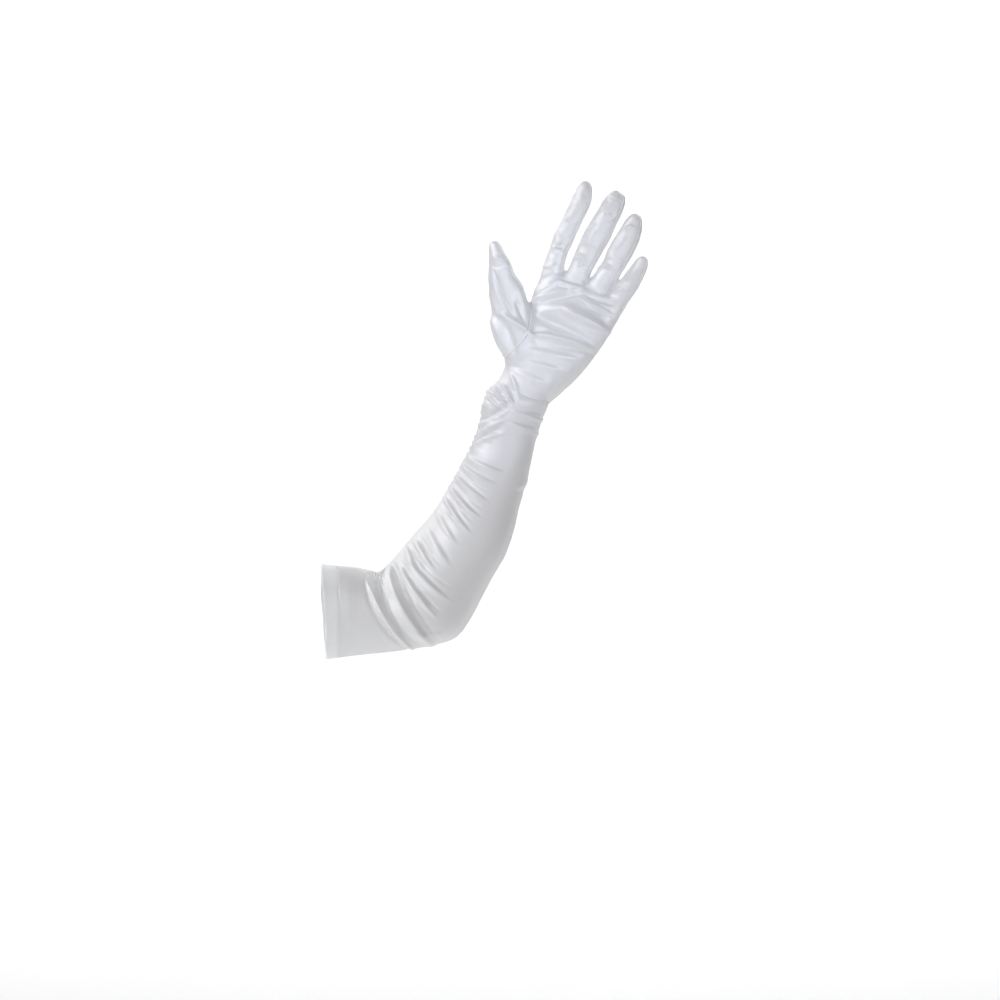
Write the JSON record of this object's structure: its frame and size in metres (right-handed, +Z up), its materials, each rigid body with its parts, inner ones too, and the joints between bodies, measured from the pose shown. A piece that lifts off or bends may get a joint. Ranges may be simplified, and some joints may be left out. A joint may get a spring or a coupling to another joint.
{
  "type": "satin opera glove",
  "caption": "Elbow-bent long evening glove for a left hand: hollow satin sleeve with hem band, open hand, finger stalls and set-in thumb",
  "frame": {"origin": "middle of the opening that the arm goes into", "axes": "+X from the opening towards the elbow, +Z up along the raised forearm, -Y out of the palm; the arm bends in the XZ plane"},
  "size_m": [0.2625, 0.08, 0.3824],
  "materials": {
    "satin": "smooth glossy stretch satin, cool white",
    "hem_satin": "the same satin turned in twice and topstitched"
  },
  "bodies": {
    "root": {"hem_band": "hem_satin", "sleeve": "satin", "hand": "satin", "thumb": "satin", "finger_index": "satin", "finger_middle": "satin", "finger_ring": "satin", "finger_little": "satin"}
  },
  "joints": []
}
